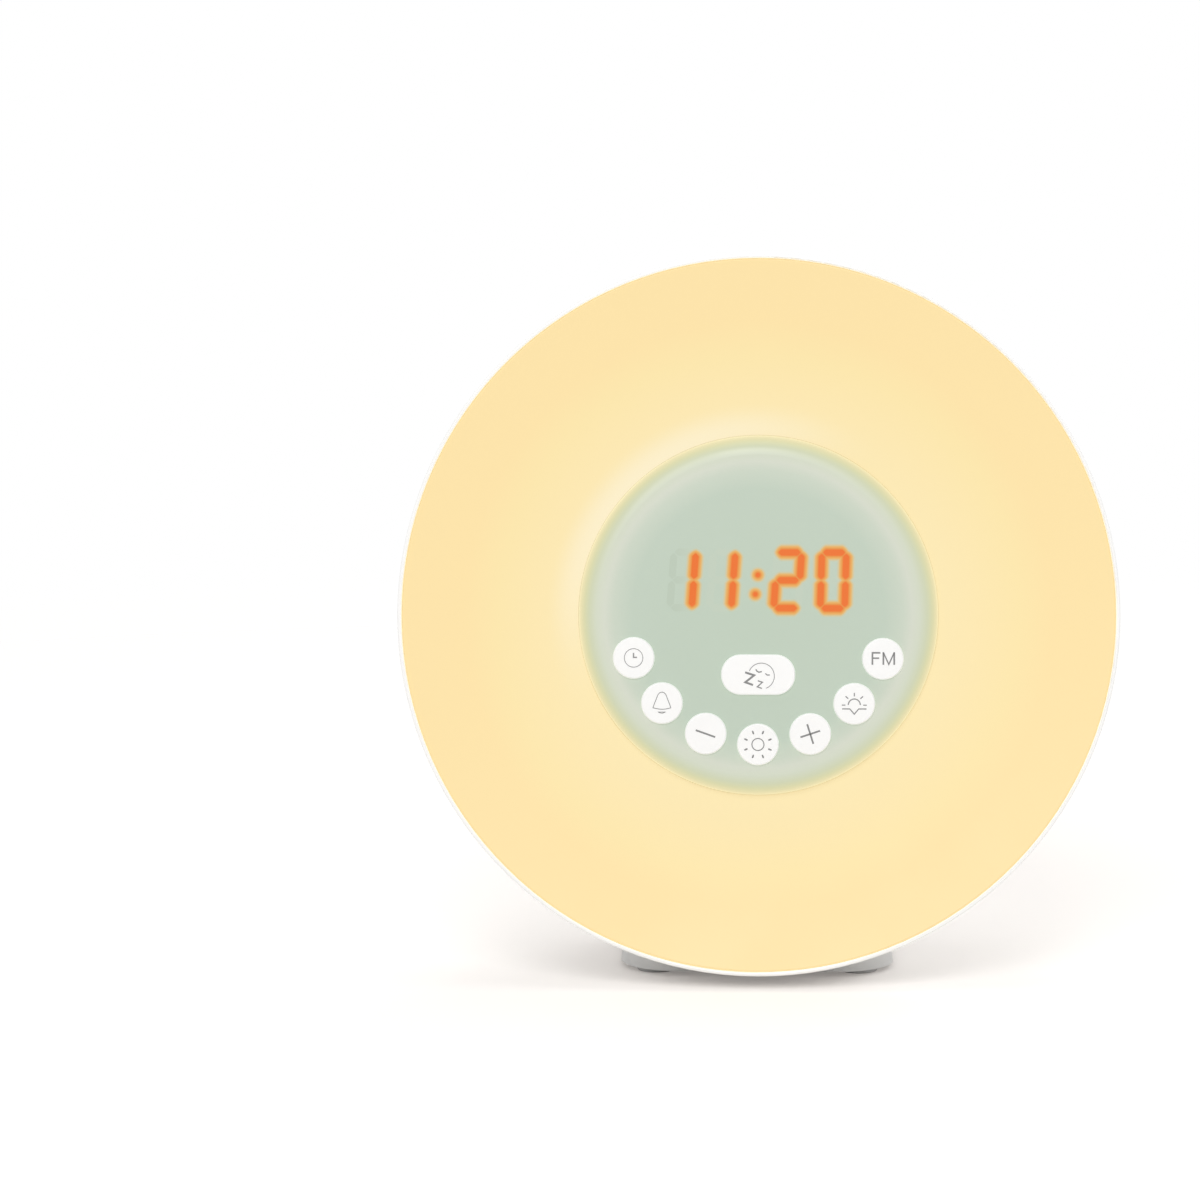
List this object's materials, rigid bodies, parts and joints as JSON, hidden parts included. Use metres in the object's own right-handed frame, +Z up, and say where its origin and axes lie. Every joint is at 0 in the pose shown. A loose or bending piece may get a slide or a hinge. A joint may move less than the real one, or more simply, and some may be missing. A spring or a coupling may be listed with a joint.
{
  "type": "sunrise alarm clock",
  "caption": "Round bedside lamp and clock on a foot: a glowing dish leans back around a display panel with round press buttons, with a speaker and cell bay behind.",
  "frame": {"origin": "on the table, in the middle of the object's width and depth", "axes": "+Z up, +Y towards the back, so the display faces -Y; the face leans back by 8 degrees"},
  "size_m": [0.172, 0.0882, 0.1739],
  "materials": {
    "white_rim": "glossy white",
    "milky_dish": "smooth, milky, lit from behind",
    "pale_green_panel": "smooth, slightly milky",
    "lit_display": "glowing orange",
    "unlit_display": "milky",
    "white_button": "satin white",
    "switch_plunger": "moulded",
    "switch_case": "moulded",
    "display_case": "moulded",
    "black_foam": "foam",
    "circuit_board": "lacquered",
    "white_circuit_board": "lacquered",
    "zinc_screw": "zinc plated",
    "black_chip": "moulded",
    "tinned_can": "tinned",
    "capacitor_can": "drawn",
    "nylon": "moulded",
    "white_reflector": "glossy white",
    "phosphor": "phosphor",
    "clear_package": "moulded",
    "white_case": "fine matt texture",
    "basket_steel": "pressed",
    "magnet": "sintered",
    "cone_paper": "pressed",
    "black_socket": "moulded",
    "nickel": "nickel plated",
    "grey_rubber": "moulded",
    "cell_jacket": "printed jacket",
    "pad_rubber": "moulded",
    "lead_cover": "extruded"
  },
  "bodies": {
    "housing": {"trim_ring": "white_rim", "diffuser": "milky_dish", "control_panel": "pale_green_panel", "lit_segments": "lit_display", "unlit_segments": "unlit_display", "switch_bodies": "switch_case", "display_module": "display_case", "display_gasket": "black_foam", "main_board": "circuit_board", "board_screws": "zinc_screw", "controller_chip": "black_chip", "radio_module": "tinned_can", "clock_crystal": "tinned_can", "capacitors": "capacitor_can", "connectors": "nylon", "reflector": "white_reflector", "dish_screws": "zinc_screw", "light_board": "white_circuit_board", "light_screws": "zinc_screw", "white_leds": "phosphor", "colour_leds": "clear_package", "rear_shell": "white_case", "case_screws": "zinc_screw", "speaker_gasket": "black_foam", "speaker_frame": "basket_steel", "speaker_magnet": "magnet", "speaker_cone": "cone_paper", "speaker_screws": "zinc_screw", "power_socket": "black_socket", "power_pin": "nickel", "aerial_grommet": "grey_rubber", "backup_cells": "cell_jacket", "cell_plates": "nickel", "cell_springs": "nickel", "foot": "white_case", "foot_screws": "zinc_screw", "rubber_pads": "pad_rubber", "light_leads": "lead_cover", "speaker_leads": "lead_cover", "power_leads": "lead_cover", "cell_leads": "lead_cover"},
    "clock_key": {"clock_button": "white_button", "clock_plunger": "switch_plunger"},
    "alarm_key": {"alarm_button": "white_button", "alarm_plunger": "switch_plunger"},
    "minus_key": {"minus_button": "white_button", "minus_plunger": "switch_plunger"},
    "light_key": {"light_button": "white_button", "light_plunger": "switch_plunger"},
    "plus_key": {"plus_button": "white_button", "plus_plunger": "switch_plunger"},
    "sunrise_key": {"sunrise_button": "white_button", "sunrise_plunger": "switch_plunger"},
    "radio_key": {"radio_button": "white_button", "radio_plunger": "switch_plunger"},
    "snooze_key": {"snooze_button": "white_button", "snooze_plunger": "switch_plunger"},
    "cell_hatch": {"cell_door": "white_case"}
  },
  "joints": [
    {"name": "clock_press", "type": "slide", "parent": "housing", "child": "clock_key", "axis": [0, 0.9903, -0.1392], "range_m": [0, 0.0005], "stiffness_N_per_m": 1500, "springref_m": -0.0005},
    {"name": "alarm_press", "type": "slide", "parent": "housing", "child": "alarm_key", "axis": [0, 0.9903, -0.1392], "range_m": [0, 0.0005], "stiffness_N_per_m": 1500, "springref_m": -0.0005},
    {"name": "minus_press", "type": "slide", "parent": "housing", "child": "minus_key", "axis": [0, 0.9903, -0.1392], "range_m": [0, 0.0005], "stiffness_N_per_m": 1500, "springref_m": -0.0005},
    {"name": "light_press", "type": "slide", "parent": "housing", "child": "light_key", "axis": [0, 0.9903, -0.1392], "range_m": [0, 0.0005], "stiffness_N_per_m": 1500, "springref_m": -0.0005},
    {"name": "plus_press", "type": "slide", "parent": "housing", "child": "plus_key", "axis": [0, 0.9903, -0.1392], "range_m": [0, 0.0005], "stiffness_N_per_m": 1500, "springref_m": -0.0005},
    {"name": "sunrise_press", "type": "slide", "parent": "housing", "child": "sunrise_key", "axis": [0, 0.9903, -0.1392], "range_m": [0, 0.0005], "stiffness_N_per_m": 1500, "springref_m": -0.0005},
    {"name": "radio_press", "type": "slide", "parent": "housing", "child": "radio_key", "axis": [0, 0.9903, -0.1392], "range_m": [0, 0.0005], "stiffness_N_per_m": 1500, "springref_m": -0.0005},
    {"name": "snooze_press", "type": "slide", "parent": "housing", "child": "snooze_key", "axis": [0, 0.9903, -0.1392], "range_m": [0, 0.0005], "stiffness_N_per_m": 1500, "springref_m": -0.0005},
    {"name": "cell_door_hinge", "type": "hinge", "parent": "housing", "child": "cell_hatch", "pos_m": [0, 0.03319, 0.05029], "axis": [-1, 0, 0], "range_deg": [0, 90]}
  ]
}
